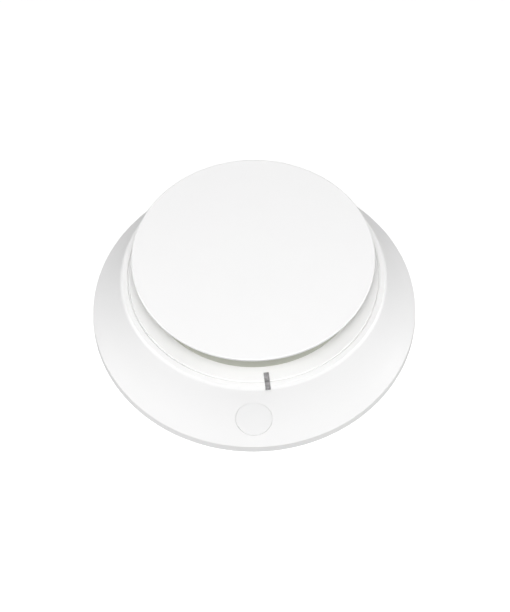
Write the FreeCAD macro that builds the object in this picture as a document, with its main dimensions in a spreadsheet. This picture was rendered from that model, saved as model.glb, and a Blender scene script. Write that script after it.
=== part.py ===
import FreeCAD, Part
import math
import os
import re
import Sketcher
from FreeCAD import Placement, Rotation, Vector

# A smoke detector head locked by a twist into its flanged ceiling base.
# It lies on its back: z is 0 on the mounting face and the cap is on top.
# Every length is in millimetres and every angle in degrees.
SIZES = {
    # Flared base moulding.
    "base_radius": 81.0,
    "rim_height": 4.0,
    "rim_draft": 0.4,
    "flare_bulge": 110.0,
    "flare_skin": 2.6,
    "lip_height": 31.25,
    "lip_band": 3.25,
    "lip_face": 2.65,
    "lip_edge": 0.7,
    "lip_depth": 5.2,
    "socket_radius": 61.1,
    "socket_wall": 2.2,
    "sleeve_gap": 0.2,
    "sleeve_base": 21.0,
    "sleeve_flare": 1.4,
    "web_thickness": 2.5,
    "wire_radius": 22.0,
    "rib_count": 12,
    "rib_thickness": 1.8,
    "rib_reach": 5.0,
    "rib_inset": 1.0,
    "cut_over": 1.0,
    # Screw slots for the ceiling box.
    "box_spacing": 88.9,
    "gang_spacing": 83.3,
    "slot_length": 8.6,
    "slot_width": 4.6,
    # Round plain disc on the flare.
    "emblem_radius": 8.5,
    "emblem_height": 16.0,
    "emblem_azimuth": 269.0,
    "emblem_depth": 0.8,
    "emblem_recess": 0.2,
    "emblem_gap": 0.15,
    # Status light bar across the parting line.
    "light_azimuth": 275.0,
    "light_width": 2.3,
    "light_reach": 4.7,
    "light_depth": 2.4,
    "light_gap": 0.1,
    "foot_height": 3.0,
    "foot_side": 0.5,
    "foot_gap": 0.4,
    # Terminals.
    "terminal_count": 4,
    "terminal_azimuth": 45.0,
    "terminal_width": 8.0,
    "terminal_pad": 2.0,
    "pad_margin": 6.0,
    "pad_side": 1.5,
    "screw_floor": 0.8,
    "screw_margin": 7.3,
    "strap_reach": 8.5,
    "strap_tail": 5.0,
    "strap_nose": 4.0,
    "strap_thickness": 0.8,
    "leaf_thickness": 0.6,
    "leaf_length": 6.0,
    "leaf_height": 6.6,
    "clamp_inset": 0.4,
    "clamp_thickness": 1.2,
    "terminal_screw_radius": 1.75,
    "terminal_screw_tip": 0.4,
    "terminal_head_radius": 3.5,
    "terminal_head_height": 2.3,
    "terminal_cross_span": 5.2,
    "terminal_cross_width": 0.9,
    "terminal_cross_depth": 1.1,
    "blade_thickness": 0.8,
    "blade_length": 4.0,
    "blade_rise": 1.0,
    "contact_play": 0.2,
    # Twist lock.
    "lug_count": 3,
    "lug_azimuth": 30.0,
    "lug_half_angle": 8.0,
    "lug_height": 2.5,
    "lug_base": 6.0,
    "lug_gap": 0.7,
    "ledge_height": 2.4,
    "ledge_reach": 3.0,
    "ledge_lead": 1.2,
    "stop_angle": 2.4,
    "stop_slack": 0.15,
    "twist_angle": 18.0,
    "lock_play": 0.3,
    # Head housing.
    "head_gap": 0.4,
    "head_drop": 0.2,
    "head_edge": 0.45,
    "dish_depth": 0.9,
    "housing_wall": 2.0,
    "collar_width": 8.3,
    "throat_draft": 0.8,
    "throat_rise": 5.85,
    "shelf_step": 2.0,
    "skirt_base": 4.6,
    "boss_count": 3,
    "boss_margin": 4.6,
    "boss_radius": 3.0,
    # Cap and smoke entry.
    "cap_overhang": 5.55,
    "cap_edge": 2.1,
    "cap_crown": 0.75,
    "cap_draft": 0.25,
    "cap_chamfer": 0.3,
    "shoulder_height": 0.35,
    "shoulder_width": 0.45,
    "spigot_gap": 0.8,
    "spigot_wall": 1.6,
    "spigot_depth": 1.4,
    "vane_count": 24,
    "vane_thickness": 1.4,
    "vane_height": 6.9,
    "vane_inset": 0.3,
    "vane_length": 4.6,
    "cage_ring": 1.2,
    # Stack inside the head.
    "cover_base": 14.0,
    "cover_thickness": 2.0,
    "cover_gap": 0.2,
    "post_radius": 2.5,
    "post_margin": 5.0,
    "board_margin": 1.4,
    "board_thickness": 1.6,
    "boss_clearance": 0.5,
    "chamber_margin": 6.0,
    "chamber_depth": 11.7,
    "chamber_floor": 2.0,
    "leg_inset": 2.0,
    "leg_thickness": 1.6,
    "lid_thickness": 1.5,
    "lid_gap": 0.9,
    "screen_inset": 0.6,
    "screen_thickness": 0.4,
    "screen_slots": 30,
    "screen_slot_width": 3.0,
    "screen_border": 1.5,
    "baffle_count": 28,
    "baffle_margin": 3.6,
    "baffle_depth": 9.0,
    "baffle_sweep": 5.0,
    "baffle_thickness": 1.1,
    # Optics.
    "optic_height": 4.0,
    "optic_radius": 2.45,
    "optic_azimuth": 200.0,
    "scatter_angle": 140.0,
    "lens_depth": 2.2,
    "lens_gap": 0.2,
    "flange_rim": 0.45,
    "flange_thickness": 0.9,
    "holder_length": 11.0,
    "holder_width": 9.0,
    "holder_roof": 0.6,
    "holder_face": 2.0,
    "aperture_radius": 1.5,
    "lead_room": 3.0,
    "lead_root": 0.5,
    "lead_bend": 1.4,
    "lead_thickness": 0.5,
    "lead_pitch": 2.54,
    "lead_slot_side": 0.8,
    # Address dials.
    "dial_steps": 10,
    "dial_radius": 5.6,
    "dial_offset": 12.0,
    "dial_height": 2.7,
    "dial_play": 0.15,
    "shaft_radius": 2.0,
    "shaft_length": 2.4,
    "shaft_room": 0.4,
    "arrow_width": 1.2,
    "arrow_head": 3.4,
    "arrow_depth": 1.2,
    "arrow_tail": 4.2,
    "arrow_neck": 2.24,
    "arrow_tip": 4.76,
    "tick_margin": 1.4,
    "tick_side": 0.7,
    "tick_height": 0.3,
    "switch_side": 14.0,
    "switch_height": 4.0,
    # Cover screws.
    "case_screw_radius": 1.25,
    "case_screw_length": 8.0,
    "case_screw_tip": 0.6,
    "case_head_radius": 2.8,
    "case_head_height": 1.7,
    "case_cross_span": 3.8,
    "case_cross_width": 0.8,
    "case_cross_depth": 0.9,
    # Pieces on the circuit board.
    "lamp_length": 3.0,
    "lamp_width": 2.8,
    "lamp_height": 1.6,
    "lamp_inset": 0.4,
    "shield_length": 16.0,
    "shield_width": 13.0,
    "shield_height": 4.4,
    "shield_wall": 0.4,
    "shield_offset": 12.5,
    "chip_side": 10.0,
    "chip_height": 1.4,
    "chip_offset": 3.0,
    "capacitor_radius": 3.15,
    "capacitor_height": 5.4,
    "capacitor_offset": 16.0,
    "reed_radius": 1.25,
    "reed_length": 13.0,
    "reed_margin": 4.4,
    "seat_gap": 0.1,
}

# Sizes that follow from those above.
FOLLOWING = {
    "lip_radius": "socket_radius + lip_band",
    "flare_top": "lip_height - lip_face",
    "flare_foot": "base_radius - rim_draft",
    "flare_run": "flare_foot - lip_radius",
    "flare_rise": "flare_top - rim_height",
    "flare_chord": "sqrt(flare_run ^ 2 + flare_rise ^ 2)",
    "flare_sag": "flare_bulge - sqrt(flare_bulge ^ 2 - flare_chord ^ 2 / 4)",
    "waist_radius": "(flare_foot + lip_radius) / 2 - flare_sag * flare_rise / flare_chord",
    "waist_height": "(rim_height + flare_top) / 2 - flare_sag * flare_run / flare_chord",
    "socket_top": "lip_height - lip_depth",
    "head_radius": "socket_radius - head_gap",
    "head_top": "lip_height - head_drop",
    "collar_base": "head_top - dish_depth - housing_wall",
    "neck_radius": "socket_radius - ledge_reach - lock_play",
    "neck_bore": "neck_radius - housing_wall",
    "ledge_base": "lug_base + lug_height + lock_play",
    "ledge_top": "ledge_base + ledge_height",
    "throat_radius": "head_radius - collar_width",
    "throat_height": "head_top - dish_depth + throat_rise",
    "throat_bore": "throat_radius - throat_draft - housing_wall",
    "cap_radius": "throat_radius + cap_overhang",
    "cap_base": "throat_height + cage_ring + vane_height",
    "cap_shoulder": "cap_base + cap_edge",
    "crown_radius": "cap_radius - shoulder_width",
    "cage_outer": "throat_radius - throat_draft",
    "cage_inner": "cage_outer - vane_length",
    "spigot_radius": "cage_inner - spigot_gap",
    "screw_circle": "neck_bore - screw_margin",
    "contact_circle": "screw_circle - strap_reach",
    "boss_circle": "neck_bore - boss_margin",
    "board_radius": "neck_bore - board_margin",
    "lamp_start": "board_radius - lamp_inset - lamp_length",
    "light_inner": "head_radius - light_reach",
    "foot_end": "head_radius - housing_wall - foot_gap",
    "chamber_radius": "throat_bore - chamber_margin",
    "screen_radius": "chamber_radius - screen_inset",
    "screen_bore": "screen_radius - screen_thickness",
    "leg_radius": "chamber_radius - leg_inset",
    "leg_bore": "leg_radius - leg_thickness",
    "baffle_outer": "chamber_radius - baffle_margin",
    "baffle_inner": "baffle_outer - baffle_depth",
    "holder_back": "baffle_inner - lead_room",
    "holder_front": "holder_back - holder_length",
    "flange_back": "holder_back + flange_thickness",
    "lens_nose": "holder_front + holder_face + lens_gap",
    "lead_front": "holder_back + lead_bend",
    "lead_back": "lead_front + lead_thickness",
    "pad_top": "web_thickness + terminal_pad",
    "clamp_base": "pad_top + strap_thickness",
    "clamp_top": "clamp_base + clamp_thickness",
    "leaf_inner": "contact_circle - blade_thickness / 2 - contact_play",
    "leaf_outer": "contact_circle + blade_thickness / 2 + contact_play",
    "cover_top": "cover_base + cover_thickness",
    "case_head_face": "cover_base - case_head_height",
    "dial_base": "cover_top - seat_gap",
    "dial_face": "dial_base - dial_height",
    "board_base": "cover_top + switch_height",
    "board_top": "board_base + board_thickness",
    "chamber_roof": "cap_base - lid_gap - lid_thickness",
    "chamber_height": "chamber_roof - chamber_depth",
    "chamber_under": "chamber_height - chamber_floor",
    "optic_level": "chamber_height + optic_height",
}

doc = FreeCAD.newDocument("smoke_detector")
sheet = doc.addObject("Spreadsheet::Sheet", "Sizes")
rows = {alias: str(size) for alias, size in SIZES.items()}
rows.update({alias: f"={rule}" for alias, rule in FOLLOWING.items()})
for line, (alias, entry) in enumerate(rows.items(), start=1):
    sheet.set(f"A{line}", alias)
    sheet.set(f"B{line}", entry)
    sheet.setAlias(f"B{line}", alias)
    doc.recompute()

pieces = []


def bound(text):
    """Write each size's name in an expression as a reference to the sheet."""
    return re.sub(r"[a-z_]+", lambda word: f"Sizes.{word[0]}" if word[0] in rows else word[0], text)


def number(text):
    """Value of an expression in the sheet's sizes."""
    return float(sheet.evalExpression(bound(text)))


def keep(piece, label):
    """Give a finished piece its name and put it on the list."""
    piece.Label = label
    pieces.append(piece)
    return piece


def new_body(name, azimuth="0"):
    """A body turned about the detector's axis."""
    body = doc.addObject("PartDesign::Body", name)
    body.AllowCompound = True
    if azimuth != "0":
        body.Placement = Placement(Vector(), Rotation(Vector(0, 0, 1), number(azimuth)))
        body.setExpression("Placement.Rotation.Angle", bound(azimuth))
    return body


def origin_part(body, role):
    """Plane or axis of a body's own origin."""
    return next(part for part in body.Origin.OriginFeatures if part.Role == role)


def pin_point(sketch, edge, end, x, y):
    """Hold one end of an edge at its place."""
    for kind, text in (("DistanceX", x), ("DistanceY", y)):
        index = sketch.addConstraint(Sketcher.Constraint(kind, -1, 1, edge, end, number(text)))
        sketch.setExpression(f"Constraints[{index}]", bound(text))


def arc_between(start, end, radius, side):
    """Arc from start to end with its centre on the left (1) or the right (-1)."""
    middle = (start + end) * 0.5
    chord = end - start
    rise = math.sqrt(max(radius ** 2 - chord.Length ** 2 / 4, 0.0))
    normal = Vector(-chord.y, chord.x, 0).normalize()
    centre = middle + normal * rise * side
    first, last = (start, end) if side > 0 else (end, start)
    angles = [math.atan2(point.y - centre.y, point.x - centre.x) for point in (first, last)]
    circle = Part.Circle(centre, Vector(0, 0, 1), radius)
    return Part.ArcOfCircle(circle, angles[0], angles[1])


def add_loop(sketch, corners):
    """Closed outline. A corner with a radius and a side starts an arc."""
    points = [Vector(number(corner[0]), number(corner[1]), 0) for corner in corners]
    edges = []
    for index, corner in enumerate(corners):
        start, end = points[index], points[(index + 1) % len(points)]
        if len(corner) == 2:
            edges.append((sketch.addGeometry(Part.LineSegment(start, end), False), 1, 2))
            continue
        arc = sketch.addGeometry(arc_between(start, end, number(corner[2]), corner[3]), False)
        edges.append((arc, 1, 2) if corner[3] > 0 else (arc, 2, 1))
    for index, (edge, start, end) in enumerate(edges):
        following = edges[(index + 1) % len(edges)]
        sketch.addConstraint(Sketcher.Constraint("Coincident", edge, end, following[0], following[1]))
    for (edge, start, end), corner in zip(edges, corners):
        pin_point(sketch, edge, start, corner[0], corner[1])
        if len(corner) > 2:
            index = sketch.addConstraint(Sketcher.Constraint("Radius", edge, number(corner[2])))
            sketch.setExpression(f"Constraints[{index}]", bound(corner[2]))


def add_circle(sketch, x, y, radius):
    """Circle held by its centre and its radius."""
    circle = Part.Circle(Vector(number(x), number(y), 0), Vector(0, 0, 1), number(radius))
    edge = sketch.addGeometry(circle, False)
    pin_point(sketch, edge, 3, x, y)
    index = sketch.addConstraint(Sketcher.Constraint("Radius", edge, number(radius)))
    sketch.setExpression(f"Constraints[{index}]", bound(radius))


def new_sketch(body, plane, loops=(), circles=(), rise="0", turn="0", depth="0"):
    """Sketch raised along the detector's axis, turned about it, and set off along its own normal."""
    sketch = body.newObject("Sketcher::SketchObject", "outline")
    sketch.AttachmentSupport = [(origin_part(body, f"{plane}_Plane"), "")]
    sketch.MapMode = "FlatFace"
    if plane == "XY":
        places = {"z": rise}
        upright = Vector(0, 0, 1)
    else:
        places = {"x": f"({depth}) * sin({turn})", "y": rise, "z": f"({depth}) * cos({turn})"}
        upright = Vector(0, 1, 0)
    offset = Vector(*(number(places.get(letter, "0")) for letter in "xyz"))
    sketch.AttachmentOffset = Placement(offset, Rotation(upright, number(turn)))
    for letter, place in places.items():
        sketch.setExpression(f"AttachmentOffset.Base.{letter}", bound(place))
    if turn != "0":
        sketch.setExpression("AttachmentOffset.Rotation.Angle", bound(turn))
    for corners in loops:
        add_loop(sketch, corners)
    for x, y, radius in circles:
        add_circle(sketch, x, y, radius)
    return sketch


def feature(body, kind, sketch, **settings):
    """Feature on a sketch. A setting in text is bound to the sheet."""
    made = body.newObject(f"PartDesign::{kind}", kind.lower())
    made.Profile = sketch
    for name, setting in settings.items():
        if name == "ReferenceAxis":
            made.ReferenceAxis = (sketch, [setting])
        elif isinstance(setting, str):
            setattr(made, name, number(setting))
            made.setExpression(name, bound(setting))
        else:
            setattr(made, name, setting)
    body.Tip = made
    doc.recompute()
    return made


def revolved(body, corners):
    """Full turn of a profile about the detector's axis."""
    return feature(body, "Revolution", new_sketch(body, "XZ", [corners]), Angle=360.0, ReferenceAxis="V_Axis")


def raised(body, loops=(), circles=(), length="1", plane="XY", **where):
    """Pad of outlines and circles."""
    return feature(body, "Pad", new_sketch(body, plane, loops, circles, **where), Length=length)


def sunk(body, loops=(), circles=(), length="1", plane="XY", **where):
    """Pocket that runs from the sketch down into the piece."""
    return feature(body, "Pocket", new_sketch(body, plane, loops, circles, **where), Length=length)


def hollowed(body, loops=(), circles=(), length="1", plane="XY", **where):
    """Pocket that runs from the sketch the other way, up or outward into the piece."""
    sketch = new_sketch(body, plane, loops, circles, **where)
    return feature(body, "Pocket", sketch, Length=length, Reversed=True)


def around(body, originals, count):
    """Repeat features about the detector's axis."""
    pattern = body.newObject("PartDesign::PolarPattern", "pattern")
    pattern.Originals = originals
    pattern.Axis = (origin_part(body, "Z_Axis"), [""])
    pattern.Angle = 360.0
    pattern.setExpression("Occurrences", bound(count))
    body.Tip = pattern
    doc.recompute()
    return pattern


def box(x_low, x_high, y_low, y_high):
    """Corners of an upright rectangle."""
    return [(x_low, y_low), (x_high, y_low), (x_high, y_high), (x_low, y_high)]


def square(x, y, side):
    """Corners of a rectangle of equal sides round a point."""
    half = f"({side}) / 2"
    return box(f"{x} - {half}", f"{x} + {half}", f"{y} - {half}", f"{y} + {half}")


def strip(inner, outer, width):
    """Rectangle along the first axis, centred across it."""
    return box(inner, outer, f"-({width}) / 2", f"({width}) / 2")


def cross(centre, span, width):
    """The two strips of a cross-shaped driver recess."""
    return [strip(f"{centre} - {across} / 2", f"{centre} + {across} / 2", along)
            for across, along in ((span, width), (width, span))]


def sector(body, inner, outer, low, high, start, sweep):
    """Block of a ring between two angles."""
    sketch = new_sketch(body, "XZ", [box(inner, outer, low, high)], turn=start)
    return feature(body, "Revolution", sketch, Angle=sweep, ReferenceAxis="V_Axis")


def combined(kind, first, second, name):
    """Boolean of two pieces."""
    made = doc.addObject(f"Part::{kind}", name)
    if kind == "Cut":
        made.Base = first
        made.Tool = second
    else:
        made.Shapes = [first, second]
    doc.recompute()
    return made


def flare_band(name, outset, depth):
    """Ring that follows the flare, from outset outside it to depth inside it."""
    body = new_body(name)
    revolved(body, [
        (f"flare_foot - ({depth})", "rim_height"),
        (f"flare_foot + ({outset})", "rim_height", "flare_bulge", -1),
        (f"lip_radius + ({outset})", "flare_top"),
        (f"lip_radius - ({depth})", "flare_top"),
        (f"waist_radius - ({depth})", "waist_height"),
    ])
    return body


def emblem_drum(name, radius):
    """Upright drum square to the flare, centred on the plain disc."""
    drum = doc.addObject("Part::Cylinder", name)
    length = number("2 * emblem_radius")
    height = number("emblem_height")
    reach = number("flare_foot - (emblem_height - rim_height) * flare_run / flare_rise")
    lean = math.degrees(math.atan2(number("flare_rise"), number("flare_run")))
    azimuth = Rotation(Vector(0, 0, 1), number("emblem_azimuth"))
    turn = azimuth * Rotation(Vector(0, 1, 0), lean)
    centre = azimuth.multVec(Vector(reach, 0, height))
    drum.Height = length
    drum.setExpression("Radius", bound(radius))
    drum.Placement = Placement(centre - turn.multVec(Vector(0, 0, length / 2)), turn)
    doc.recompute()
    return drum


def base_moulding():
    """Web on the ceiling, head socket, terminal pads and lock ledges."""
    body = new_body("base_solid")
    outer = "socket_radius + socket_wall"
    revolved(body, [
        ("wire_radius", "0"),
        (outer, "0"),
        (outer, "socket_top"),
        ("socket_radius", "socket_top"),
        ("socket_radius", "web_thickness"),
        ("wire_radius", "web_thickness"),
    ])
    outline = strip("contact_circle - pad_margin", "screw_circle + terminal_width / 2 + seat_gap",
                    "terminal_width + 2 * pad_side")
    pad = raised(body, [outline], length="terminal_pad", rise="web_thickness", turn="terminal_azimuth")
    around(body, [pad], "terminal_count")
    bore = sunk(body, circles=[("screw_circle", "0", "terminal_screw_radius + seat_gap")],
                length="pad_top - screw_floor", rise="pad_top", turn="terminal_azimuth")
    around(body, [bore], "terminal_count")
    lock_blocks(body)
    box_slots(body)
    keep(body, "base_moulding")


def lock_blocks(body):
    """Ledges that hold the lugs down, with a stop at each end of the turn."""
    inner = "neck_radius + lock_play"
    outer = "socket_radius + socket_wall / 2"
    first = "lug_azimuth - lug_half_angle - stop_slack - stop_angle"
    last = "lug_azimuth + lug_half_angle + stop_slack + twist_angle"
    ledge = sector(body, inner, outer, "ledge_base", "ledge_top", f"{first} + stop_angle / 2",
                   "2 * lug_half_angle + stop_slack + ledge_lead + stop_angle / 2")
    stops = [sector(body, inner, outer, "web_thickness / 2", "ledge_top", start, "stop_angle")
             for start in (first, last)]
    around(body, [ledge] + stops, "lug_count")


def box_slots(body):
    """Two pairs of slots for the screws of the ceiling box."""
    half = "(slot_length - slot_width) / 2"
    for spacing, turn in (("box_spacing", "0"), ("gang_spacing", "90")):
        where = {"length": "web_thickness", "rise": "web_thickness", "turn": turn}
        middles = [f"{side}{spacing} / 2" for side in ("", "-")]
        for middle in middles:
            sunk(body, [strip(f"{middle} - {half}", f"{middle} + {half}", "slot_width")], **where)
        for end in "+-":
            sunk(body, circles=[(f"{middle} {end} {half}", "0", "slot_width / 2") for middle in middles], **where)


def flared_skirt():
    """Trim that slips over the socket and flares down to the ceiling, with the lip round the head."""
    body = new_body("skirt_solid")
    sleeve = "socket_radius + socket_wall + sleeve_gap"
    revolved(body, [
        ("base_radius - flare_skin", "0"),
        ("base_radius", "0"),
        ("flare_foot", "rim_height", "flare_bulge", -1),
        ("lip_radius", "flare_top"),
        ("lip_radius", "lip_height - lip_edge"),
        ("lip_radius - lip_edge", "lip_height"),
        ("socket_radius + lip_edge / 2", "lip_height"),
        ("socket_radius", "lip_height - lip_edge / 2"),
        ("socket_radius", "socket_top"),
        (sleeve, "socket_top"),
        (sleeve, "sleeve_base"),
        ("lip_radius + sleeve_flare", "sleeve_base"),
        ("waist_radius - flare_skin", "waist_height"),
        ("flare_foot - flare_skin", "rim_height"),
    ])
    rib_front = "flare_foot - flare_skin - rib_reach"
    outline = [
        (rib_front, "rib_inset"),
        ("flare_foot - flare_skin / 2", "rib_inset"),
        ("flare_foot - flare_skin / 2", "rim_height"),
        ("waist_radius - flare_skin / 2", "waist_height"),
        ("lip_radius + sleeve_flare + flare_skin / 2", "sleeve_base"),
        ("lip_radius + sleeve_flare - seat_gap", "sleeve_base"),
        (rib_front, "rim_height"),
    ]
    rib = raised(body, [outline], length="rib_thickness", plane="XZ", depth="-rib_thickness / 2",
                 turn="180 / rib_count")
    around(body, [rib], "rib_count")
    sunk(body, [strip("socket_radius - cut_over", "lip_radius + cut_over", "light_width + 2 * light_gap")],
         length="light_depth", rise="lip_height", turn="light_azimuth")
    band = flare_band("emblem_seat_band", "cut_over", "emblem_depth + emblem_recess")
    drum = emblem_drum("emblem_seat_drum", "emblem_radius + emblem_gap")
    seat = combined("MultiCommon", band, drum, "emblem_seat")
    keep(combined("Cut", body, seat, "skirt_part"), "flared_skirt")


def emblem_disc():
    """Plain disc that follows the flare, a little below its surface."""
    band = flare_band("emblem_band", "-emblem_recess", "emblem_depth + emblem_recess - seat_gap / 2")
    drum = emblem_drum("emblem_drum", "emblem_radius")
    keep(combined("MultiCommon", band, drum, "emblem_part"), "emblem_disc")


def base_light():
    """Light bar's outer end, let into the lip."""
    body = new_body("base_light_body", "light_azimuth")
    raised(body, [strip("socket_radius + 2 * light_gap", "lip_radius - light_gap", "light_width")],
           length="light_depth", rise="lip_height - light_depth")
    keep(body, "base_light")


def terminal_body(kind, place):
    """Body at one of the terminals."""
    return new_body(f"{kind}_body_{place + 1}", f"terminal_azimuth + {place} * 360 / terminal_count")


def contact_clip(place):
    """Strap under the screw with two upright leaves for the blade."""
    body = terminal_body("clip", place)
    raised(body, [strip("contact_circle - strap_tail", "screw_circle + strap_nose", "terminal_width")],
           length="strap_thickness", rise="pad_top")
    raised(body, [
        strip("leaf_inner - leaf_thickness", "leaf_inner", "leaf_length"),
        strip("leaf_outer", "leaf_outer + leaf_thickness", "leaf_length"),
    ], length="leaf_height", rise="clamp_base")
    sunk(body, circles=[("screw_circle", "0", "terminal_screw_radius + seat_gap")],
         length="strap_thickness", rise="clamp_base")
    keep(body, f"contact_clip_{place + 1}")


def clamp_plate(place):
    """Square plate that grips the wire under the screw's head."""
    body = terminal_body("clamp", place)
    raised(body, [square("screw_circle", "0", "terminal_width - 2 * clamp_inset")],
           length="clamp_thickness", rise="clamp_base")
    sunk(body, circles=[("screw_circle", "0", "terminal_screw_radius + seat_gap")],
         length="clamp_thickness", rise="clamp_top")
    keep(body, f"clamp_plate_{place + 1}")


def terminal_screws():
    """Cross-slotted screws, one at each terminal."""
    body = new_body("terminal_screw_body", "terminal_azimuth")
    tip = "screw_floor + terminal_screw_tip"
    shank = raised(body, circles=[("screw_circle", "0", "terminal_screw_radius")],
                   length=f"clamp_top - ({tip})", rise=tip)
    head = raised(body, circles=[("screw_circle", "0", "terminal_head_radius")],
                  length="terminal_head_height", rise="clamp_top")
    slots = [sunk(body, [loop], length="terminal_cross_depth", rise="clamp_top + terminal_head_height")
             for loop in cross("screw_circle", "terminal_cross_span", "terminal_cross_width")]
    around(body, [shank, head] + slots, "terminal_count")
    keep(body, "terminal_screws")


def head_housing():
    """Dished collar, throat wall, skirt, bosses and lock lugs."""
    body = new_body("housing_body")
    revolved(body, [
        ("neck_bore", "skirt_base"),
        ("neck_radius", "skirt_base"),
        ("neck_radius", "ledge_top + lock_play"),
        ("head_radius", "ledge_top + lock_play"),
        ("head_radius", "head_top - head_edge"),
        ("head_radius - head_edge", "head_top"),
        ("throat_radius", "head_top - dish_depth"),
        ("throat_radius - throat_draft", "throat_height"),
        ("throat_bore", "throat_height"),
        ("throat_bore", "collar_base"),
        ("head_radius - housing_wall", "collar_base"),
        ("head_radius - housing_wall", "cover_top + 2 * shelf_step"),
        ("neck_bore", "cover_top + shelf_step"),
    ])
    lug = sector(body, "neck_radius - housing_wall / 2", "socket_radius - lug_gap", "lug_base",
                 "lug_base + lug_height", "lug_azimuth - lug_half_angle", "2 * lug_half_angle")
    around(body, [lug], "lug_count")
    boss = raised(body, circles=[("-boss_circle", "0", "boss_radius")],
                  length="collar_base + housing_wall / 2 - cover_top - seat_gap", rise="cover_top + seat_gap")
    around(body, [boss], "boss_count")
    bore = sunk(body, circles=[("-boss_circle", "0", "case_screw_radius + seat_gap")],
                length="case_screw_length", rise="cover_top + case_screw_length")
    around(body, [bore], "boss_count")
    sunk(body, [strip("light_inner - light_gap", "head_radius + cut_over", "light_width + 2 * light_gap")],
         length="head_top - collar_base + light_gap", rise="head_top", turn="light_azimuth")
    keep(body, "head_housing")


def light_guide():
    """Smoked bar flush with the collar, with a foot over the status light."""
    body = new_body("guide_body", "light_azimuth")
    foot_top = "collar_base - seat_gap"
    raised(body, [strip("light_inner", "head_radius - light_gap", "light_width")],
           length="head_top - collar_base", rise="collar_base")
    raised(body, [strip("lamp_start", "foot_end", "light_width + 2 * foot_side")],
           length="foot_height", rise=f"{foot_top} - foot_height")
    raised(body, [strip("light_inner", "foot_end", "light_width")], length="seat_gap", rise=foot_top)
    keep(body, "light_guide")


def smoke_cage():
    """Ring of upright vanes between the throat and the cap."""
    body = new_body("cage_body")
    revolved(body, box("cage_inner", "cage_outer", "throat_height", "throat_height + cage_ring"))
    vane = raised(body, [strip("cage_inner + vane_inset", "cage_outer - vane_inset", "vane_thickness")],
                  length="vane_height", rise="throat_height + cage_ring")
    around(body, [vane], "vane_count")
    keep(body, "smoke_cage")


def cap_disc():
    """Slightly domed cap with a spigot inside the vanes."""
    body = new_body("cap_body")
    dome = [(f"crown_radius * {quarter} / 4", f"cap_shoulder + cap_crown * (1 - {quarter} ^ 2 / 16)")
            for quarter in (4, 3, 2, 1)]
    revolved(body, [
        ("0", "cap_base"),
        ("spigot_radius - spigot_wall", "cap_base"),
        ("spigot_radius - spigot_wall", "cap_base - spigot_depth"),
        ("spigot_radius", "cap_base - spigot_depth"),
        ("spigot_radius", "cap_base"),
        ("cap_radius - cap_draft - cap_chamfer", "cap_base"),
        ("cap_radius - cap_draft", "cap_base + cap_chamfer"),
        ("cap_radius", "cap_shoulder - shoulder_height"),
        *dome,
        ("0", dome[-1][1]),
    ])
    keep(body, "cap_disc")


def insect_screen():
    """Thin slotted sleeve round the labyrinth."""
    body = new_body("screen_body")
    revolved(body, box("screen_bore", "screen_radius", "chamber_height", "chamber_roof"))
    slot = sunk(body, [strip("screen_bore - cut_over", "screen_radius + cut_over", "screen_slot_width")],
                length="chamber_roof - chamber_height - 2 * screen_border", rise="chamber_roof - screen_border")
    around(body, [slot], "screen_slots")
    keep(body, "insect_screen")


def chamber_lid():
    """Roof of the chamber with a ring of bent baffles that keeps light out."""
    body = new_body("lid_body")
    revolved(body, box("0", "chamber_radius", "chamber_roof", "chamber_roof + lid_thickness"))
    middle = "baffle_inner + baffle_depth / 2"
    half = "baffle_thickness / 2"
    baffle = raised(body, [[
        ("baffle_inner", f"-{half}"),
        (middle, f"baffle_sweep - {half}"),
        ("baffle_outer", f"-{half}"),
        ("baffle_outer", half),
        (middle, f"baffle_sweep + {half}"),
        ("baffle_inner", half),
    ]], length="chamber_roof - chamber_height", rise="chamber_height")
    around(body, [baffle], "baffle_count")
    keep(body, "chamber_lid")


def chamber_base():
    """Floor of the chamber on a leg ring, with two holders for the optics."""
    body = new_body("chamber_body")
    revolved(body, [
        ("0", "chamber_under"),
        ("leg_bore", "chamber_under"),
        ("leg_bore", "board_top"),
        ("leg_radius", "board_top"),
        ("leg_radius", "chamber_under"),
        ("chamber_radius", "chamber_under"),
        ("chamber_radius", "chamber_height"),
        ("0", "chamber_height"),
    ])
    for turn in ("optic_azimuth", "(optic_azimuth + scatter_angle)"):
        raised(body, [strip("holder_front", "holder_back", "holder_width")],
               length="2 * optic_height + holder_roof", rise="chamber_height", turn=turn)
        hollowed(body, circles=[("0", "optic_level", "aperture_radius")],
                 length="holder_back", plane="YZ", turn=turn)
        nest = new_sketch(body, "YZ", circles=[("0", "optic_level", "optic_radius + seat_gap / 2")],
                          turn=turn, depth="holder_back")
        feature(body, "Pocket", nest, Length="holder_length - holder_face")
        sunk(body, [strip("flange_back", "flange_back + lead_bend", "lead_pitch + 2 * lead_slot_side")],
             length="chamber_floor", rise="chamber_height", turn=turn)
    keep(body, "chamber_base")


def optic(label, turn):
    """Round lensed device lying in its holder, with its leads down to the board."""
    body = new_body(f"{label}_body", turn)
    lens = [(f"lens_nose + lens_depth * (1 - cos({angle}))", f"optic_radius * sin({angle})")
            for angle in (0, 30, 60, 90)]
    profile = lens + [
        ("holder_back", "optic_radius"),
        ("holder_back", "optic_radius + flange_rim"),
        ("flange_back", "optic_radius + flange_rim"),
        ("flange_back", "0"),
    ]
    sketch = new_sketch(body, "XZ", [profile], rise="optic_level")
    feature(body, "Revolution", sketch, Angle=360.0, ReferenceAxis="H_Axis")
    for side in ("-", ""):
        raised(body, [[
            ("holder_back + lead_root", "optic_level - lead_thickness / 2"),
            ("lead_front", "optic_level - lead_thickness / 2"),
            ("lead_front", "board_top"),
            ("lead_back", "board_top"),
            ("lead_back", "optic_level + lead_thickness / 2"),
            ("holder_back + lead_root", "optic_level + lead_thickness / 2"),
        ]], length="lead_thickness", plane="XZ", depth=f"{side}lead_pitch / 2 - lead_thickness / 2")
    keep(body, label)


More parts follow.
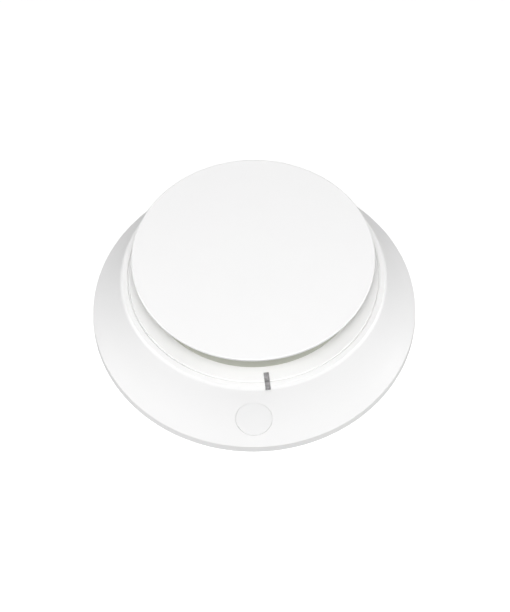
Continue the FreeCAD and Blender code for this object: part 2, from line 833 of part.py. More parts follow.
def head_board():
    """Round circuit board notched for the bosses."""
    body = new_body("board_body")
    raised(body, circles=[("0", "0", "board_radius")], length="board_thickness", rise="board_base")
    notch = sunk(body, circles=[("-boss_circle", "0", "boss_radius + boss_clearance")],
                 length="board_thickness", rise="board_top")
    around(body, [notch], "boss_count")
    keep(body, "head_board")


def back_cover():
    """Disc that closes the head, with dial windows and blade slots."""
    body = new_body("cover_body")
    raised(body, circles=[("0", "0", "neck_bore - cover_gap")], length="cover_thickness", rise="cover_base")
    through = {"length": "cover_thickness", "rise": "cover_top"}
    outline = strip("contact_circle - blade_thickness / 2 - seat_gap",
                    "contact_circle + blade_thickness / 2 + seat_gap", "blade_length + 2 * seat_gap")
    slot = sunk(body, [outline], turn="terminal_azimuth", **through)
    around(body, [slot], "terminal_count")
    hole = sunk(body, circles=[("-boss_circle", "0", "case_screw_radius + 2 * seat_gap")], **through)
    around(body, [hole], "boss_count")
    sunk(body, circles=[(f"{side}dial_offset", "0", "dial_radius + dial_play") for side in ("-", "")], **through)
    post = raised(body, circles=[("boss_circle - post_margin", "0", "post_radius")],
                  length="switch_height", rise="cover_top", turn="terminal_azimuth")
    around(body, [post], "terminal_count")
    reach = "(dial_radius + tick_margin)"
    for side in ("-", ""):
        angles = [f"{step} * 360 / dial_steps" for step in range(SIZES["dial_steps"])]
        ticks = [square(f"({side}dial_offset + {reach} * cos({angle}))", f"({reach} * sin({angle}))", "tick_side")
                 for angle in angles]
        raised(body, ticks, length="tick_height", rise="cover_base - tick_height")
    keep(body, "back_cover")


def switch_body(label, middle):
    """Square case of one rotary address switch."""
    body = new_body(f"{label}_case")
    raised(body, [square(middle, "0", "switch_side")], length="switch_height", rise="cover_top")
    hollowed(body, circles=[(middle, "0", "shaft_radius + dial_play")],
             length="shaft_length + shaft_room", rise="cover_top")
    keep(body, label)


def address_dial(label, middle):
    """Turning dial with an arrow-shaped recess for the driver."""
    body = new_body(f"{label}_turn")
    raised(body, circles=[(middle, "0", "dial_radius")], length="dial_height", rise="dial_face")
    raised(body, circles=[(middle, "0", "shaft_radius")], length="shaft_length + seat_gap", rise="dial_base")
    hollowed(body, [[
        (f"{middle} - arrow_width / 2", "-arrow_tail"),
        (f"{middle} + arrow_width / 2", "-arrow_tail"),
        (f"{middle} + arrow_width / 2", "arrow_neck"),
        (f"{middle} + arrow_head / 2", "arrow_neck"),
        (middle, "arrow_tip"),
        (f"{middle} - arrow_head / 2", "arrow_neck"),
        (f"{middle} - arrow_width / 2", "arrow_neck"),
    ]], length="arrow_depth", rise="dial_face")
    keep(body, label)


def contact_blade(place):
    """Flat blade from the board down into a clip."""
    body = terminal_body("blade", place)
    outline = strip("contact_circle - blade_thickness / 2", "contact_circle + blade_thickness / 2", "blade_length")
    raised(body, [outline], length="board_base - clamp_base - blade_rise", rise="clamp_base + blade_rise")
    keep(body, f"contact_blade_{place + 1}")


def cover_screws():
    """Screws that hold the back cover to the bosses."""
    body = new_body("cover_screw_body")
    head = raised(body, circles=[("-boss_circle", "0", "case_head_radius")],
                  length="case_head_height", rise="case_head_face")
    shank = raised(body, circles=[("-boss_circle", "0", "case_screw_radius")],
                   length="cover_thickness + case_screw_length - case_screw_tip", rise="cover_base")
    slots = [hollowed(body, [loop], length="case_cross_depth", rise="case_head_face")
             for loop in cross("-boss_circle", "case_cross_span", "case_cross_width")]
    around(body, [head, shank] + slots, "boss_count")
    keep(body, "cover_screws")


def board_pieces():
    """What stands on the circuit board under the chamber and by its edge."""
    light = new_body("status_light_body", "light_azimuth")
    raised(light, [strip("lamp_start", "lamp_start + lamp_length", "lamp_width")],
           length="lamp_height", rise="board_top")
    keep(light, "status_light")
    shield = new_body("shield_body")
    for inset, action, length in (("0", raised, "shield_height"), ("shield_wall", hollowed, "shield_height - shield_wall")):
        half = f"(shield_width / 2 - {inset})"
        outline = box(f"-(shield_length / 2 - {inset})", f"shield_length / 2 - {inset}",
                      f"shield_offset - {half}", f"shield_offset + {half}")
        action(shield, [outline], length=length, rise="board_top")
    keep(shield, "shield_can")
    chip = new_body("chip_body")
    raised(chip, [square("0", "-chip_offset", "chip_side")], length="chip_height", rise="board_top")
    keep(chip, "controller_chip")
    capacitor = new_body("capacitor_body")
    raised(capacitor, circles=[("0", "-capacitor_offset", "capacitor_radius")],
           length="capacitor_height", rise="board_top")
    keep(capacitor, "bulk_capacitor")
    reed = new_body("reed_body")
    raised(reed, circles=[("chamber_radius + reed_margin", "board_top + reed_radius + seat_gap", "reed_radius")],
           length="reed_length", plane="XZ", depth="-reed_length / 2")
    keep(reed, "reed_switch")


base_moulding()
flared_skirt()
emblem_disc()
base_light()
for terminal in range(SIZES["terminal_count"]):
    contact_clip(terminal)
    clamp_plate(terminal)
    contact_blade(terminal)
terminal_screws()
head_housing()
light_guide()
smoke_cage()
cap_disc()
insect_screen()
chamber_lid()
chamber_base()
optic("infrared_emitter", "optic_azimuth")
optic("photodiode", "(optic_azimuth + scatter_angle)")
head_board()
back_cover()
switch_body("switch_tens", "-dial_offset")
switch_body("switch_units", "dial_offset")
address_dial("dial_tens", "-dial_offset")
address_dial("dial_units", "dial_offset")
cover_screws()
board_pieces()

doc.recompute()
for item in doc.Objects:
    if "Invalid" in item.State or "Error" in item.State:
        raise RuntimeError(f"{item.Label} did not rebuild")
os.makedirs("parts", exist_ok=True)
for piece in pieces:
    if piece.Shape.isNull() or not piece.Shape.isValid():
        raise RuntimeError(f"{piece.Label} has no sound solid")
    piece.Shape.exportStep(f"parts/{piece.Label}.step")
    print(piece.Label, len(piece.Shape.Solids), round(piece.Shape.Volume, 1))
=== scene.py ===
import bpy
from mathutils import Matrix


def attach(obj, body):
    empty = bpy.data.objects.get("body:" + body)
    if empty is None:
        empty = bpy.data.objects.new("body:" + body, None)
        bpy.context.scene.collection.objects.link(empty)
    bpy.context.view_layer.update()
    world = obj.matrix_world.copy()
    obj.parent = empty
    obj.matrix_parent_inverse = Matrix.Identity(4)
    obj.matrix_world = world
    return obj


bl_info = {
    "name": "Ceiling Smoke Detector",
    "version": (1, 0, 0),
    "blender": (4, 5, 0),
    "location": "View3D > Sidebar > Detector",
    "description": "Finishes the solid model of a ceiling smoke detector and sets it on a studio stage",
    "category": "Object",
}

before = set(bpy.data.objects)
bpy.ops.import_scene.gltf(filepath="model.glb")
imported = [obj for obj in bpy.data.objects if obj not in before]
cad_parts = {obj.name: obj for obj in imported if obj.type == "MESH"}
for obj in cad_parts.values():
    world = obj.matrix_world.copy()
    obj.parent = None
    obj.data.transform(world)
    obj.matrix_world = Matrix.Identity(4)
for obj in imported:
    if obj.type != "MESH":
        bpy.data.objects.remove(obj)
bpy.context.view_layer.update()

import math

import bmesh
import bpy
from bpy.props import FloatProperty, FloatVectorProperty, PointerProperty
from bpy.types import Operator, Panel, PropertyGroup
from mathutils import Matrix, Vector

MM = 0.001
JOIN_DISTANCE = 0.001 * MM
FULL_TURN = 360.0

# Painted shade on the white wall under the cap, grey where the cap's shadow falls: how far out and how far down
# the painted band reaches, in metres, and how upright its faces are, where 1 is fully upright.
THROAT_SHADE_REACH = 0.0526
THROAT_SHADE_DEPTH = 0.0059
UPRIGHT = 0.9

# Trim bands: outlines of radius and height in millimetres, and the lean of the surface in degrees at each corner.
PARTING_OUTLINE = ((61.14, 30.74), (60.74, 30.5), (60.74, 29.6), (61.14, 29.4))
ROOT_OUTLINE = ((64.3, 30.6), (64.6, 30.25), (64.85, 29.6), (65.05, 28.8), (65.25, 27.7), (65.55, 25.9),
                (65.3, 25.6), (64.1, 28.0))
ROOT_LEANS = (50.0, 40.0, 32.0, 28.5, 27.0, 26.5, 26.5, 40.0)
FOOT_OUTLINE = ((64.5, 28.2), (65.16, 28.2), (65.25, 27.7), (65.55, 25.9), (65.3, 25.6), (64.3, 27.6))
FOOT_LEANS = (40.0, 28.0, 27.0, 26.5, 26.5, 40.0)
BRIDGE_OUTLINE = ((61.16, 30.95), (60.74, 30.85), (60.74, 29.6), (61.16, 29.4))
RING_STEPS = 180
SHORT_STEPS = 2

# Angle in degrees from which an edge of a band, or of a piece with rounded edges, counts as sharp.
BAND_CREASE = 25.0
EDGE_CREASE = 35.0

# The light bar's azimuth and the half angles that the trim leaves for it and that it fills, in degrees.
BAR_AZIMUTH = 275.0
BAR_HALF_ANGLE = 1.2
BRIDGE_HALF_ANGLE = 1.08

# Widths of the rounded edges, and how many faces go round each.
LENS_EDGE = 0.12 * MM
LEAF_EDGE = 0.1 * MM
PLATE_EDGE = 0.15 * MM
SCREW_EDGE = 0.2 * MM
DIAL_EDGE = 0.15 * MM
SWITCH_EDGE = 0.2 * MM
EDGE_SEGMENTS = 2

# Sockets of the colour mix node.
MIX_FACTOR, MIX_FIRST, MIX_SECOND, MIX_RESULT = 0, 6, 7, 2

# Finishes that have no setting of their own, as linear red, green and blue.
LAMP_BODY = (0.8, 0.78, 0.7)
SCREEN_STEEL = (0.3, 0.3, 0.3)
EMITTER_EPOXY = (0.05, 0.06, 0.16)
FILTER_EPOXY = (0.01, 0.01, 0.012)
CHIP_EPOXY = (0.012, 0.012, 0.014)
TINNED_SHEET = (0.66, 0.66, 0.65)
CAPACITOR_SLEEVE = (0.02, 0.03, 0.09)
SWITCH_CASE = (0.015, 0.015, 0.017)
GLASS_TINTS = ((0.8, 0.9, 0.86), (0.9, 0.97, 0.94))

# Stage: the photograph's longer side in pixels, the lens, the floor, and each lamp's azimuth and lean in degrees.
IMAGE_LONG_SIDE = 612
SENSOR_WIDTH = 36.0
NEAREST, FARTHEST = 0.01, 50.0
FLOOR_HALF = 4.0
FLOOR_DROP = 0.1 * MM
LAMPS = (("top", -90, 18), ("front", -90, 28), ("right", 0, 75), ("left", -160, 58), ("side", 180, 75))


def colour_property(name, description, default):
    """Colour that a user may change, as plain linear red, green and blue."""
    return FloatVectorProperty(name=name, description=description, default=default,
                               size=3, min=0.0, max=1.0, subtype="COLOR")


def length_property(name, description, default):
    """Length in metres that a user may change."""
    return FloatProperty(name=name, description=description, default=default,
                         min=0.0, subtype="DISTANCE", unit="LENGTH")


def level_property(name, description, default):
    """Brightness of a light that a user may change, as what a white surface that faces it sends back."""
    return FloatProperty(name=name, description=description, default=default, min=0.0)


class DetectorColours(PropertyGroup):
    """Colours of the detector's finishes, and the grey painted as shade under the cap."""

    case: colour_property("Case", "Satin white of the base, head and cap", (0.862, 0.86, 0.86))
    # Olive grey on the vanes is painted shade from the cap's overhang, in the tint of the painted throat shade; the
    # vanes are white plastic.
    cage: colour_property("Cage", "Moulded ring of vanes under the cap", (0.6, 0.61, 0.53))
    # Grey painted on the throat wall as the cap's shade, on top of the shade the render casts; the wall itself is
    # white case plastic.
    painted_throat_shade: colour_property("Throat", "Grey wall between the collar and the vanes", (0.485, 0.495, 0.43))
    medallion: colour_property("Medallion", "Plain round disc on the flare", (0.84, 0.84, 0.84))
    light_bar: colour_property("Light bar", "Smoked lens of the status light", (0.27, 0.265, 0.27))
    chamber: colour_property("Chamber", "Matt black of the sensing chamber", (0.012, 0.012, 0.013))
    laminate: colour_property("Circuit board", "Green lacquer over the copper", (0.016, 0.13, 0.05))
    brass: colour_property("Contacts", "Spring brass of clips and blades", (0.72, 0.5, 0.2))
    plated: colour_property("Screws", "Zinc plate on screws and clamps", (0.62, 0.62, 0.63))
    dial: colour_property("Address dials", "Orange moulding of the address dials", (0.72, 0.22, 0.03))


class DetectorStage(PropertyGroup):
    """Camera, floor and lamps."""

    camera_distance: length_property("Camera distance", "From the lens to the middle of the object", 0.669676)
    target_height: length_property("Target height", "Height of the point that the camera turns about", 0.025)
    elevation: FloatProperty(name="Elevation", description="Camera's angle above the floor",
                             default=math.radians(56.144), subtype="ANGLE")
    pan: FloatProperty(name="Pan", description="Small turn of the camera to one side",
                       default=-0.0006, subtype="ANGLE")
    tilt: FloatProperty(name="Tilt", description="Small turn of the camera up or down",
                        default=-0.0192, subtype="ANGLE")
    roll: FloatProperty(name="Roll", description="Turn of the camera about its line of sight",
                        default=math.radians(-1.2206), subtype="ANGLE")
    focal_pixels: FloatProperty(name="Focal length", description="Focal length in pixels of the photograph",
                                default=1370.0, min=1.0)
    lamp_size: length_property("Lamp size", "Side of each square lamp", 0.7)
    lamp_distance: length_property("Lamp distance", "From each lamp to the object", 1.6)
    top_level: level_property("Top lamp", "Light from above", 0.2)
    front_level: level_property("Front lamp", "Light from above and in front", 0.628)
    right_level: level_property("Right lamp", "Low light from the right", 0.3)
    left_level: level_property("Left lamp", "Light from the front left", 0.09)
    side_level: level_property("Side lamp", "Low light from the left", 0.185)
    sky_level: level_property("Sky level", "Even light from the whole studio", 0.2)
    floor_glow: level_property("Floor glow", "What the floor adds for the camera alone", 0.2)
    shadow_reach: length_property("Shadow reach", "From the object's middle to where the floor turns even white", 0.2)
    floor_shade: colour_property("Floor shade", "Floor's colour as the object sees it", (0.5, 0.5, 0.5))
    floor_colour: colour_property("Floor", "Pale studio floor", (0.9, 0.9, 0.9))


class Finish:
    """A node material under construction, with short calls for the nodes that the finishes share."""

    def __init__(self, name):
        self.material = bpy.data.materials.new(name)
        self.material.use_nodes = True
        self.nodes = self.material.node_tree.nodes
        self.links = self.material.node_tree.links
        self.shader = self.nodes["Principled BSDF"]
        self.place = self.nodes.new("ShaderNodeTexCoord").outputs["Object"]

    def noise(self, size, detail=3.0, squash=(1.0, 1.0, 1.0)):
        """Noise whose features are about size metres across."""
        mapping = self.nodes.new("ShaderNodeMapping")
        mapping.inputs["Scale"].default_value = squash
        self.links.new(self.place, mapping.inputs["Vector"])
        noise = self.nodes.new("ShaderNodeTexNoise")
        noise.inputs["Scale"].default_value = 1.0 / size
        noise.inputs["Detail"].default_value = detail
        self.links.new(mapping.outputs["Vector"], noise.inputs["Vector"])
        return noise.outputs["Fac"]

    def spread(self, value, low, high, start=0.3, end=0.7):
        """The value's usual span mapped to low and high."""
        ramp = self.nodes.new("ShaderNodeMapRange")
        ramp.inputs["From Min"].default_value = start
        ramp.inputs["From Max"].default_value = end
        ramp.inputs["To Min"].default_value = low
        ramp.inputs["To Max"].default_value = high
        self.links.new(value, ramp.inputs["Value"])
        return ramp.outputs["Result"]

    def mixed(self, value, first, second):
        """Colour between two by a value. Each of the two is a colour or another node's output."""
        mix = self.nodes.new("ShaderNodeMix")
        mix.data_type = "RGBA"
        for socket, colour in ((MIX_FIRST, first), (MIX_SECOND, second)):
            if isinstance(colour, bpy.types.NodeSocket):
                self.links.new(colour, mix.inputs[socket])
            else:
                mix.inputs[socket].default_value = (*colour, 1.0)
        self.links.new(value, mix.inputs[MIX_FACTOR])
        return mix.outputs[MIX_RESULT]

    def combined(self, operation, first, second):
        """Result of an operation on an output and on another output or a number."""
        node = self.nodes.new("ShaderNodeMath")
        node.operation = operation
        self.links.new(first, node.inputs[0])
        if isinstance(second, bpy.types.NodeSocket):
            self.links.new(second, node.inputs[1])
        else:
            node.inputs[1].default_value = second
        return node.outputs[0]

    def colour(self, output):
        """Base colour from a node's output."""
        self.links.new(output, self.shader.inputs["Base Color"])

    def roughness(self, low, high, size):
        """Roughness that drifts between two values."""
        self.links.new(self.spread(self.noise(size), low, high), self.shader.inputs["Roughness"])

    def grain(self, height, size, strength=1.0, detail=2.0, squash=(1.0, 1.0, 1.0)):
        """Fine surface grain of a height in metres."""
        bump = self.nodes.new("ShaderNodeBump")
        bump.inputs["Strength"].default_value = strength
        bump.inputs["Distance"].default_value = height
        self.links.new(self.noise(size, detail, squash), bump.inputs["Height"])
        previous = self.shader.inputs["Normal"]
        if previous.is_linked:
            self.links.new(previous.links[0].from_socket, bump.inputs["Normal"])
        self.links.new(bump.outputs["Normal"], previous)

    def set(self, **sockets):
        """Even values on the shader's own sockets."""
        for name, value in sockets.items():
            self.shader.inputs[name.replace("_", " ")].default_value = value


def shade(colour, factor):
    """Colour made lighter or darker."""
    return tuple(min(1.0, channel * factor) for channel in colour)


def moulded_plastic(name, colour, low=0.34, high=0.44, grain=0.000012, drift=0.985):
    """Satin injection moulding: a fine spark grain, faint flow marks and a slow drift in tone."""
    finish = Finish(name)
    tone = finish.spread(finish.noise(size=0.05, detail=2.0), low=0.0, high=1.0, start=0.0, end=1.0)
    finish.colour(finish.mixed(tone, shade(colour, drift), colour))
    finish.roughness(low, high, size=0.012)
    finish.grain(height=grain, size=0.00035, strength=0.5)
    finish.grain(height=grain * 1.5, size=0.0045, strength=0.12, detail=1.0)
    finish.set(IOR=1.5, Specular_IOR_Level=0.4)
    return finish.material


def smoked_lens(name, colour):
    """Dark translucent bar with a clear skin over a deeper tint."""
    finish = Finish(name)
    cloud = finish.spread(finish.noise(size=0.0016), low=0.0, high=1.0)
    finish.colour(finish.mixed(cloud, shade(colour, 0.75), shade(colour, 1.35)))
    finish.roughness(low=0.16, high=0.3, size=0.002)
    finish.grain(height=0.00001, size=0.0004, strength=0.3)
    finish.set(Coat_Weight=0.4, Coat_Roughness=0.12, IOR=1.49)
    return finish.material


def bare_metal(name, colour, low, high, along=(1.0, 1.0, 1.0)):
    """Stamped or turned metal with fine drawn lines and duller patches."""
    finish = Finish(name)
    tarnish = finish.spread(finish.noise(size=0.004, detail=5.0), low=0.0, high=1.0, start=0.35, end=0.75)
    finish.colour(finish.mixed(tarnish, colour, shade(colour, 0.72)))
    finish.roughness(low, high, size=0.0025)
    finish.grain(height=0.00001, size=0.0003, strength=0.6, detail=3.0, squash=along)
    finish.set(Metallic=1.0)
    return finish.material


def circuit_laminate(name, colour):
    """Lacquered board with a fine woven core and a slow drift where copper lies under the lacquer."""
    finish = Finish(name)
    weave = finish.nodes.new("ShaderNodeTexBrick")
    weave.inputs["Scale"].default_value = 1100.0
    for socket, factor in (("Color1", 0.92), ("Color2", 1.08), ("Mortar", 1.25)):
        weave.inputs[socket].default_value = (*shade(colour, factor), 1.0)
    weave.inputs["Mortar Size"].default_value = 0.03
    finish.links.new(finish.place, weave.inputs["Vector"])
    copper = finish.spread(finish.noise(size=0.03, detail=1.0), low=0.0, high=0.6)
    finish.colour(finish.mixed(copper, weave.outputs["Color"], shade(colour, 1.3)))
    finish.roughness(low=0.22, high=0.34, size=0.004)
    finish.grain(height=0.00002, size=0.0008, strength=0.3)
    finish.set(Coat_Weight=0.3, Coat_Roughness=0.15)
    return finish.material


def clear_glass(name):
    """Thin glass tube with a faint green tint."""
    finish = Finish(name)
    finish.colour(finish.mixed(finish.noise(size=0.004), *GLASS_TINTS))
    finish.roughness(low=0.03, high=0.07, size=0.003)
    finish.set(Transmission_Weight=0.9, IOR=1.5)
    return finish.material


def finish_node(node, material, edge_width=0.0):
    """Gives a solid its finish and, where a width in metres is given, rounds its sharp edges."""
    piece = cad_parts[node]
    piece.data.materials.clear()
    piece.data.materials.append(material)
    if edge_width:
        weld = piece.modifiers.new("joined corners", "WELD")
        weld.merge_threshold = JOIN_DISTANCE
        edge = piece.modifiers.new("rounded edges", "BEVEL")
        edge.width = edge_width
        edge.segments = EDGE_SEGMENTS
        edge.limit_method = "ANGLE"
        edge.angle_limit = math.radians(EDGE_CREASE)
        edge.harden_normals = True
        edge.use_clamp_overlap = True


def colours():
    """The scene's colours."""
    return bpy.context.scene.detector_colours


def paint_throat_shade(mesh):
    """Painted shade: grey on the upright wall between the collar and the vanes, where the cap shades the white
    moulding.
    """
    mesh.materials.append(moulded_plastic("throat_shade_paint", colours().painted_throat_shade, low=0.45, high=0.55))
    top = max(corner.co.z for corner in mesh.vertices)
    for face in mesh.polygons:
        outward = Vector((face.center.x, face.center.y, 0.0))
        upright = face.normal.dot(outward.normalized()) > UPRIGHT
        if upright and outward.length < THROAT_SHADE_REACH and face.center.z > top - THROAT_SHADE_DEPTH:
            face.material_index = 1


class DETECTOR_OT_case(Operator):
    """Satin white moulding for the base, skirt, head, cap and back cover"""

    bl_idname = "detector.case"
    bl_label = "Case"

    def execute(self, context):
        case = moulded_plastic("satin_case", colours().case)
        for node in ("base_moulding", "flared_skirt", "head_housing", "cap_disc", "back_cover"):
            finish_node(node, case)
        # Paints the cap's shade as grey on the throat wall of the head moulding.
        paint_throat_shade(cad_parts["head_housing"].data)
        before, after = BAR_AZIMUTH - BAR_HALF_ANGLE, BAR_AZIMUTH + BAR_HALF_ANGLE
        for band in (turned_band("parting_bead", PARTING_OUTLINE, after, before + FULL_TURN, RING_STEPS),
                     turned_band("lip_root", ROOT_OUTLINE, after, before + FULL_TURN, RING_STEPS, ROOT_LEANS),
                     turned_band("lip_foot", FOOT_OUTLINE, before, after, SHORT_STEPS, FOOT_LEANS)):
            band.data.materials.append(case)
            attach(band, "base")
        return {"FINISHED"}


class DETECTOR_OT_medallion(Operator):
    """Plain round disc on the front of the flare"""

    bl_idname = "detector.medallion"
    bl_label = "Medallion"

    def execute(self, context):
        finish_node("emblem_disc", moulded_plastic("medallion", colours().medallion, low=0.36, high=0.44))
        return {"FINISHED"}


class DETECTOR_OT_light_bar(Operator):
    """Smoked status light bar and the lamp under it"""

    bl_idname = "detector.light_bar"
    bl_label = "Light bar"

    def execute(self, context):
        lens = smoked_lens("smoked_bar", colours().light_bar)
        for node in ("base_light", "light_guide"):
            finish_node(node, lens, LENS_EDGE)
        bridge = turned_band("light_bridge", BRIDGE_OUTLINE, BAR_AZIMUTH - BRIDGE_HALF_ANGLE,
                             BAR_AZIMUTH + BRIDGE_HALF_ANGLE, SHORT_STEPS)
        bridge.data.materials.append(lens)
        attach(bridge, "base")
        finish_node("status_light", moulded_plastic("lamp_body", LAMP_BODY, low=0.2, high=0.3))
        return {"FINISHED"}


class DETECTOR_OT_smoke_entry(Operator):
    """Ring of vanes, insect screen and black chamber"""

    bl_idname = "detector.smoke_entry"
    bl_label = "Smoke entry"

    def execute(self, context):
        # Olive grey on the vanes is painted shade from the cap's overhang.
        finish_node("smoke_cage", moulded_plastic("cage", colours().cage, low=0.4, high=0.5))
        finish_node("insect_screen", bare_metal("screen", SCREEN_STEEL, low=0.35, high=0.5))
        black = moulded_plastic("black_chamber", colours().chamber, low=0.5, high=0.65, grain=0.00003, drift=0.8)
        for node in ("chamber_lid", "chamber_base"):
            finish_node(node, black)
        finish_node("infrared_emitter", smoked_lens("infrared_epoxy", EMITTER_EPOXY))
        finish_node("photodiode", smoked_lens("filter_epoxy", FILTER_EPOXY))
        return {"FINISHED"}


class DETECTOR_OT_board(Operator):
    """Circuit board and what stands on it"""

    bl_idname = "detector.board"
    bl_label = "Circuit board"

    def execute(self, context):
        finish_node("head_board", circuit_laminate("green_lacquer", colours().laminate))
        finish_node("controller_chip", moulded_plastic("chip_epoxy", CHIP_EPOXY, low=0.4, high=0.55))
        finish_node("shield_can", bare_metal("tinned_sheet", TINNED_SHEET, low=0.25, high=0.4))
        finish_node("bulk_capacitor", moulded_plastic("capacitor_sleeve", CAPACITOR_SLEEVE, low=0.2, high=0.3))
        finish_node("reed_switch", clear_glass("reed_tube"))
        return {"FINISHED"}


class DETECTOR_OT_terminals(Operator):
    """Terminals, clamp plates, blades and screws"""

    bl_idname = "detector.terminals"
    bl_label = "Terminals"

    def execute(self, context):
        brass = bare_metal("spring_brass", colours().brass, low=0.22, high=0.38, along=(1.0, 1.0, 8.0))
        plated = bare_metal("zinc_plate", colours().plated, low=0.3, high=0.45)
        for place in range(1, 5):
            finish_node(f"contact_clip_{place}", brass, LEAF_EDGE)
            finish_node(f"contact_blade_{place}", brass, LEAF_EDGE)
            finish_node(f"clamp_plate_{place}", plated, PLATE_EDGE)
        for node in ("terminal_screws", "cover_screws"):
            finish_node(node, plated, SCREW_EDGE)
        return {"FINISHED"}


class DETECTOR_OT_dials(Operator):
    """Address dials and their switches"""

    bl_idname = "detector.dials"
    bl_label = "Address dials"

    def execute(self, context):
        black = moulded_plastic("switch_case", SWITCH_CASE, low=0.35, high=0.5)
        orange = moulded_plastic("dial", colours().dial, low=0.3, high=0.42)
        for place in ("tens", "units"):
            finish_node(f"switch_{place}", black, SWITCH_EDGE)
            finish_node(f"dial_{place}", orange, DIAL_EDGE)
        return {"FINISHED"}


def plain_mesh(name, corners, faces):
    """Mesh object from corners and faces, linked to the scene."""
    mesh = bpy.data.meshes.new(name)
    mesh.from_pydata(corners, [], faces)
    piece = bpy.data.objects.new(name, mesh)
    bpy.context.scene.collection.objects.link(piece)
    return piece


def turned_band(name, outline, start, stop, steps, leans=None):
    """Band with an outline of radii and heights in millimetres, turned between two azimuths in degrees.

    Leans, the upward lean of the surface at each corner in degrees, blend its shading into what it joins.
    """
    corners, faces = [], []
    count = len(outline)
    for step in range(steps + 1):
        angle = math.radians(start + (stop - start) * step / steps)
        corners += [(radius * MM * math.cos(angle), radius * MM * math.sin(angle), height * MM)
                    for radius, height in outline]
    for step in range(steps):
        for side in range(count):
            first, second = step * count + side, step * count + (side + 1) % count
            faces.append((first, first + count, second + count, second))
    faces.append(tuple(range(count)))
    faces.append(tuple(reversed(range(steps * count, (steps + 1) * count))))
    band = plain_mesh(name, corners, faces)
    shape = bmesh.new()
    shape.from_mesh(band.data)
    bmesh.ops.recalc_face_normals(shape, faces=shape.faces)
    shape.to_mesh(band.data)
    shape.free()
    band.data.shade_smooth()
    if leans is None:
        band.data.set_sharp_from_angle(angle=math.radians(BAND_CREASE))
        return band
    normals = []
    for place, corner in enumerate(band.data.vertices):
        lean = math.radians(leans[place % count])
        outward = Vector((corner.co.x, corner.co.y, 0.0)).normalized() * math.cos(lean)
        normals.append((outward.x, outward.y, math.sin(lean)))
    band.data.normals_split_custom_set_from_vertices(normals)
    return band


def camera_matrix(settings):
    """Camera's place and turn, fitted to the outlines in the photograph."""
    lean = settings.elevation
    place = Vector((0.0, -settings.camera_distance * math.cos(lean),
                    settings.target_height + settings.camera_distance * math.sin(lean)))
    ahead = Vector((0.0, math.cos(lean), -math.sin(lean)))
    right = Vector((1.0, 0.0, 0.0))
    up = right.cross(ahead)
    pan = Matrix.Rotation(settings.pan, 3, up)
    ahead, right = pan @ ahead, pan @ right
    ahead = Matrix.Rotation(settings.tilt, 3, right) @ ahead
    up = right.cross(ahead)
    across = right * math.cos(settings.roll) + up * math.sin(settings.roll)
    upward = up * math.cos(settings.roll) - right * math.sin(settings.roll)
    turn = Matrix((across, upward, -ahead)).transposed()
    return Matrix.Translation(place) @ turn.to_4x4()


def studio_floor(settings):
    """Pale floor that shows white to the camera and keeps the object's soft shadow."""
    half, low = FLOOR_HALF, -FLOOR_DROP
    corners = [(-half, -half, low), (half, -half, low), (half, half, low), (-half, half, low)]
    floor = plain_mesh("studio_floor", corners, [(0, 1, 2, 3)])
    finish = Finish("floor_paper")
    path = finish.nodes.new("ShaderNodeLightPath")
    seen = finish.combined("MAXIMUM", path.outputs["Is Camera Ray"], path.outputs["Is Transmission Ray"])
    paper = finish.mixed(finish.noise(size=0.4), settings.floor_colour, shade(settings.floor_colour, 0.995))
    finish.colour(finish.mixed(seen, settings.floor_shade, paper))
    finish.set(Roughness=0.9, Specular_IOR_Level=0.1)
    glow = finish.nodes.new("ShaderNodeEmission")
    finish.links.new(finish.combined("MULTIPLY", seen, settings.floor_glow), glow.inputs["Strength"])
    near = finish.nodes.new("ShaderNodeAddShader")
    finish.links.new(finish.shader.outputs[0], near.inputs[0])
    finish.links.new(glow.outputs[0], near.inputs[1])
    reach = finish.nodes.new("ShaderNodeVectorMath")
    reach.operation = "LENGTH"
    finish.links.new(finish.place, reach.inputs[0])
    edge = settings.shadow_reach
    beyond = finish.spread(reach.outputs["Value"], low=0.0, high=1.0, start=edge, end=edge * 2.0)
    far = finish.nodes.new("ShaderNodeEmission")
    far.inputs["Strength"].default_value = 1.0
    both = finish.nodes.new("ShaderNodeMixShader")
    finish.links.new(finish.combined("MULTIPLY", beyond, seen), both.inputs[0])
    finish.links.new(near.outputs[0], both.inputs[1])
    finish.links.new(far.outputs[0], both.inputs[2])
    finish.links.new(both.outputs[0], finish.nodes["Material Output"].inputs["Surface"])
    floor.data.materials.append(finish.material)


def studio_world(settings):
    """Even sky that lights the object at its own level and is white to the camera, in gloss and through glass."""
    world = bpy.data.worlds.new("studio_sky")
    bpy.context.scene.world = world
    world.use_nodes = True
    nodes, links = world.node_tree.nodes, world.node_tree.links
    sky = nodes["Background"]
    sky.inputs["Color"].default_value = (1.0, 1.0, 1.0, 1.0)
    path = nodes.new("ShaderNodeLightPath")
    seen = path.outputs["Is Camera Ray"]
    for ray in ("Is Glossy Ray", "Is Transmission Ray"):
        wider = nodes.new("ShaderNodeMath")
        wider.operation = "MAXIMUM"
        links.new(seen, wider.inputs[0])
        links.new(path.outputs[ray], wider.inputs[1])
        seen = wider.outputs[0]
    level = nodes.new("ShaderNodeMapRange")
    level.inputs["To Min"].default_value = settings.sky_level
    level.inputs["To Max"].default_value = 1.0
    links.new(seen, level.inputs["Value"])
    links.new(level.outputs["Result"], sky.inputs["Strength"])


def area_lamp(settings, name, azimuth, lean):
    """Square lamp aimed at the object, leaning from straight above towards an azimuth."""
    lamp = bpy.data.lights.new(f"{name}_lamp", "AREA")
    lamp.shape = "SQUARE"
    lamp.size = settings.lamp_size
    lamp.energy = getattr(settings, f"{name}_level") * math.pi ** 2 * settings.lamp_distance ** 2
    holder = bpy.data.objects.new(f"{name}_lamp", lamp)
    direction = Vector((math.cos(azimuth) * math.sin(lean), math.sin(azimuth) * math.sin(lean), math.cos(lean)))
    holder.location = direction * settings.lamp_distance
    holder.rotation_euler = direction.to_track_quat("Z", "Y").to_euler()
    bpy.context.scene.collection.objects.link(holder)


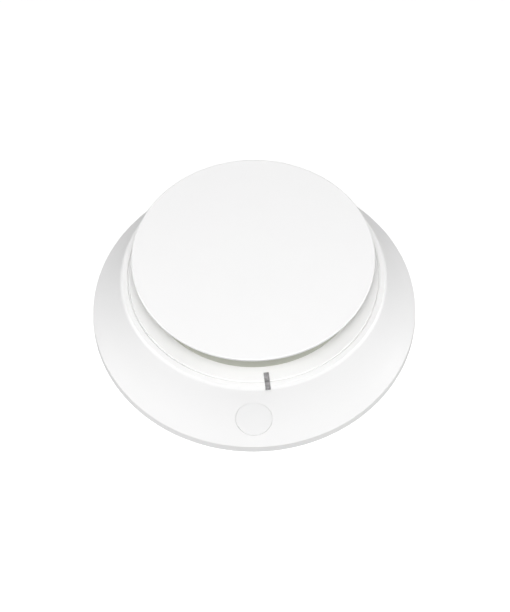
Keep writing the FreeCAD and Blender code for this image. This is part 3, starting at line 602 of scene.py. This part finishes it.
class DETECTOR_OT_stage(Operator):
    """Camera, floor, sky and lamps"""

    bl_idname = "detector.stage"
    bl_label = "Stage"

    def execute(self, context):
        settings = context.scene.detector_stage
        camera = bpy.data.cameras.new("camera")
        camera.sensor_width = SENSOR_WIDTH
        camera.sensor_fit = "AUTO"
        camera.lens = settings.focal_pixels / IMAGE_LONG_SIDE * camera.sensor_width
        camera.clip_start = NEAREST
        camera.clip_end = FARTHEST
        holder = bpy.data.objects.new("camera", camera)
        holder.matrix_world = camera_matrix(settings)
        context.scene.collection.objects.link(holder)
        context.scene.camera = holder
        studio_floor(settings)
        studio_world(settings)
        for name, azimuth, lean in LAMPS:
            area_lamp(settings, name, math.radians(azimuth), math.radians(lean))
        context.scene.view_settings.view_transform = "Standard"
        return {"FINISHED"}


class DETECTOR_PT_panel(Panel):
    """Steps and settings of the detector"""

    bl_idname = "DETECTOR_PT_panel"
    bl_label = "Smoke detector"
    bl_space_type = "VIEW_3D"
    bl_region_type = "UI"
    bl_category = "Detector"

    def draw(self, context):
        for group in (context.scene.detector_colours, context.scene.detector_stage):
            box = self.layout.box()
            for name in group.bl_rna.properties.keys():
                if name not in {"rna_type", "name"}:
                    box.prop(group, name)
        for step in STEPS:
            self.layout.operator(step.bl_idname)


STEPS = (
    DETECTOR_OT_case,
    DETECTOR_OT_medallion,
    DETECTOR_OT_light_bar,
    DETECTOR_OT_smoke_entry,
    DETECTOR_OT_board,
    DETECTOR_OT_terminals,
    DETECTOR_OT_dials,
    DETECTOR_OT_stage,
)
CLASSES = (DetectorColours, DetectorStage) + STEPS + (DETECTOR_PT_panel,)


def register():
    """Adds the classes and the scene's settings."""
    for entry in CLASSES:
        bpy.utils.register_class(entry)
    bpy.types.Scene.detector_colours = PointerProperty(type=DetectorColours)
    bpy.types.Scene.detector_stage = PointerProperty(type=DetectorStage)


def unregister():
    """Removes the settings and the classes."""
    del bpy.types.Scene.detector_stage
    del bpy.types.Scene.detector_colours
    for entry in reversed(CLASSES):
        bpy.utils.unregister_class(entry)


def main():
    """Runs every step in order."""
    register()
    for step in STEPS:
        group, name = step.bl_idname.split(".")
        getattr(getattr(bpy.ops, group), name)()


if __name__ == "__main__":
    main()
